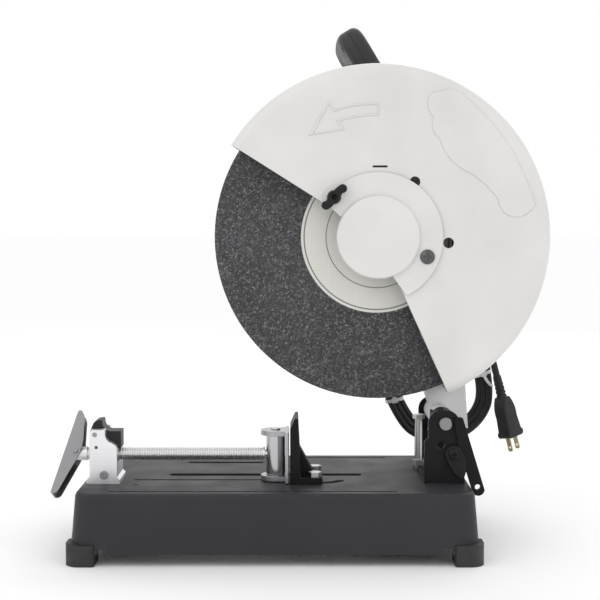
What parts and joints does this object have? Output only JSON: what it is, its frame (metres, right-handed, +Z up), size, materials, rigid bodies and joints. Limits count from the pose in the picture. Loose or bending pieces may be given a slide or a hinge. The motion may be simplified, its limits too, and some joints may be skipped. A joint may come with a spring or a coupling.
{
  "type": "abrasive chop saw",
  "caption": "Bench abrasive cut-off saw: steel base with screw vise and angle fence, sprung pivoting head with guarded wheel, side motor and D handle.",
  "frame": {"origin": "on the floor, under the middle of the saw's outline without its cord", "axes": "+Z up, +X towards the pivot at the rear, -Y the wheel side, +Y the motor side"},
  "size_m": [0.5379, 0.2815, 0.5729],
  "materials": {
    "base_black": "satin",
    "foot_rubber": "matte",
    "bracket_black": "satin",
    "zinc_bolts": "satin",
    "pin_zinc": "satin",
    "spring_steel": "satin",
    "stop_zinc": "satin",
    "wrench_black": "satin",
    "clip_black": "satin",
    "block_silver": "cast, satin",
    "fixing_steel": "satin",
    "lock_zinc": "satin",
    "fence_black": "satin",
    "fence_bolt_zinc": "satin",
    "lever_black": "satin",
    "screw_zinc": "satin",
    "crank_grey": "satin",
    "hub_chrome": "polished",
    "jaw_zinc": "satin",
    "arm_grey": "satin",
    "housing_grey": "satin",
    "cover_grey": "cast, satin",
    "guard_white": "satin",
    "guard_back_white": "satin",
    "guard_screw_zinc": "satin",
    "cover_white": "satin",
    "cover_screw_dark": "satin",
    "wing_black": "satin",
    "spindle_steel": "ground",
    "gear_steel": "ground",
    "inner_flange_steel": "satin",
    "outer_flange_steel": "satin",
    "abrasive": "coarse grit",
    "label_paper": "paper over mesh",
    "bolt_black": "satin",
    "bearing_steel": "ground",
    "motor_blue": "fine grain",
    "cap_blue": "fine grain",
    "lamination": "laminated",
    "field_copper": "enamelled",
    "brush_brass": "satin",
    "brush_cap_black": "matte",
    "rotor_steel": "ground",
    "rotor_lamination": "laminated",
    "rotor_copper": "enamelled",
    "commutator_copper": "turned",
    "fan_black": "matte",
    "lock_black": "matte",
    "handle_black": "fine grain",
    "handle_rear_black": "fine grain",
    "handle_screw_steel": "satin",
    "trigger_black": "smooth",
    "switch_dark": "matte",
    "button_black": "smooth",
    "guard_rubber": "matte",
    "cord_black": "matte",
    "coil_black": "matte",
    "tie_white": "smooth",
    "plug_black": "matte",
    "blade_brass": "bright"
  },
  "bodies": {
    "base": {"base_frame": "base_black", "rubber_feet": "foot_rubber", "pivot_bracket": "bracket_black", "deck_bolts": "zinc_bolts", "pivot_pin_set": "pin_zinc", "return_spring": "spring_steel", "stop_bolt_set": "stop_zinc", "wrench": "wrench_black", "wrench_clip": "clip_black", "nut_block": "block_silver", "block_fixings": "fixing_steel"},
    "fence": {"fence": "fence_black", "fence_clamp_bolt": "fence_bolt_zinc"},
    "half_nut_lever": {"half_nut_lever": "lever_black"},
    "carriage": {"jaw_hub": "hub_chrome"},
    "jaw": {"vise_jaw": "jaw_zinc"},
    "screw": {"vise_screw": "screw_zinc", "vise_crank": "crank_grey"},
    "lock_pin": {"lock_pin": "lock_zinc"},
    "head": {"arm": "arm_grey", "gear_housing": "housing_grey", "gear_cover": "cover_grey", "motor_housing": "motor_blue", "end_cover": "cap_blue", "guard_shell": "guard_white", "guard_back": "guard_back_white", "guard_screws": "guard_screw_zinc", "cover_screw": "cover_screw_dark", "ball_bearings": "bearing_steel", "field_core": "lamination", "field_coils": "field_copper", "brush_gear": "brush_brass", "brush_caps": "brush_cap_black", "handle_front": "handle_black", "handle_rear": "handle_rear_black", "handle_screws": "handle_screw_steel", "switch_set": "switch_dark", "cord_guard": "guard_rubber", "cord": "cord_black", "cord_coil": "coil_black", "cable_ties": "tie_white", "plug": "plug_black", "plug_blades": "blade_brass"},
    "cutter": {"spindle": "spindle_steel", "spindle_gear": "gear_steel", "inner_flange": "inner_flange_steel", "outer_flange": "outer_flange_steel", "abrasive_wheel": "abrasive", "wheel_label": "label_paper", "spindle_bolt": "bolt_black"},
    "rotor": {"rotor_shaft": "rotor_steel", "rotor_core": "rotor_lamination", "rotor_windings": "rotor_copper", "commutator": "commutator_copper", "cooling_fan": "fan_black"},
    "cover": {"cover_plate": "cover_white"},
    "wing_bolt": {"wing_bolt": "wing_black"},
    "trigger": {"trigger": "trigger_black"},
    "lock_off_button": {"lock_off_button": "button_black"},
    "shaft_lock": {"shaft_lock": "lock_black"}
  },
  "joints": [
    {"name": "head_swing", "type": "hinge", "parent": "base", "child": "head", "pos_m": [0.1515, 0, 0.138], "axis": [0, -1, 0], "range_deg": [0, 45], "stiffness_Nm_per_rad": 25, "springref_deg": -28.65},
    {"name": "wheel_spin", "type": "hinge", "parent": "head", "child": "cutter", "pos_m": [0.08, -0.028, 0.337], "axis": [0, 1, 0], "continuous": true},
    {"name": "rotor_spin", "type": "hinge", "parent": "head", "child": "rotor", "pos_m": [0.10386, 0.08, 0.36086], "axis": [0, 1, 0], "continuous": true},
    {"name": "vise_slide", "type": "slide", "parent": "base", "child": "carriage", "axis": [-1, 0, 0], "range_m": [0, 0.13]},
    {"name": "screw_turn", "type": "hinge", "parent": "carriage", "child": "screw", "pos_m": [-0.2, -0.058, 0.103], "axis": [-1, 0, 0], "range_deg": [0, 18000]},
    {"name": "jaw_swivel", "type": "hinge", "parent": "carriage", "child": "jaw", "pos_m": [-0.0304, -0.058, 0.102], "axis": [0, 0, 1], "range_deg": [0, 45]},
    {"name": "fence_swivel", "type": "hinge", "parent": "base", "child": "fence", "pos_m": [0.012, -0.04, 0.09], "axis": [0, 0, 1], "range_deg": [0, 45]},
    {"name": "half_nut_lift", "type": "hinge", "parent": "base", "child": "half_nut_lever", "pos_m": [-0.223, -0.058, 0.127], "axis": [0, -1, 0], "range_deg": [0, 40]},
    {"name": "lock_pin_slide", "type": "slide", "parent": "base", "child": "lock_pin", "axis": [0, -1, 0], "range_m": [0, 0.014]},
    {"name": "cover_swing", "type": "hinge", "parent": "head", "child": "cover", "pos_m": [0.133, -0.058, 0.316], "axis": [0, 1, 0], "range_deg": [0, 70]},
    {"name": "wing_bolt_turn", "type": "hinge", "parent": "head", "child": "wing_bolt", "pos_m": [0.0325, -0.06, 0.38], "axis": [0, -1, 0], "range_deg": [0, 180]},
    {"name": "trigger_pull", "type": "hinge", "parent": "head", "child": "trigger", "pos_m": [0.06006, 0.042, 0.54623], "axis": [0.8554, 0, 0.518], "range_deg": [0, 7], "stiffness_Nm_per_rad": 2, "springref_deg": -5.73},
    {"name": "lock_off_press", "type": "slide", "parent": "head", "child": "lock_off_button", "axis": [-0.8554, 0, -0.518], "range_m": [0, 0.0025], "stiffness_N_per_m": 800, "springref_m": -0.001},
    {"name": "shaft_lock_press", "type": "slide", "parent": "head", "child": "shaft_lock", "axis": [1, 0, 0], "range_m": [0, 0.004], "stiffness_N_per_m": 800, "springref_m": -0.001}
  ],
  "couplings": [
    {"joint": "rotor_spin", "follows": "wheel_spin", "ratio": -5},
    {"joint": "screw_turn", "follows": "vise_slide", "rad_per_m": 2416.6},
    {"joint": "jaw_swivel", "follows": "fence_swivel", "ratio": 1}
  ]
}
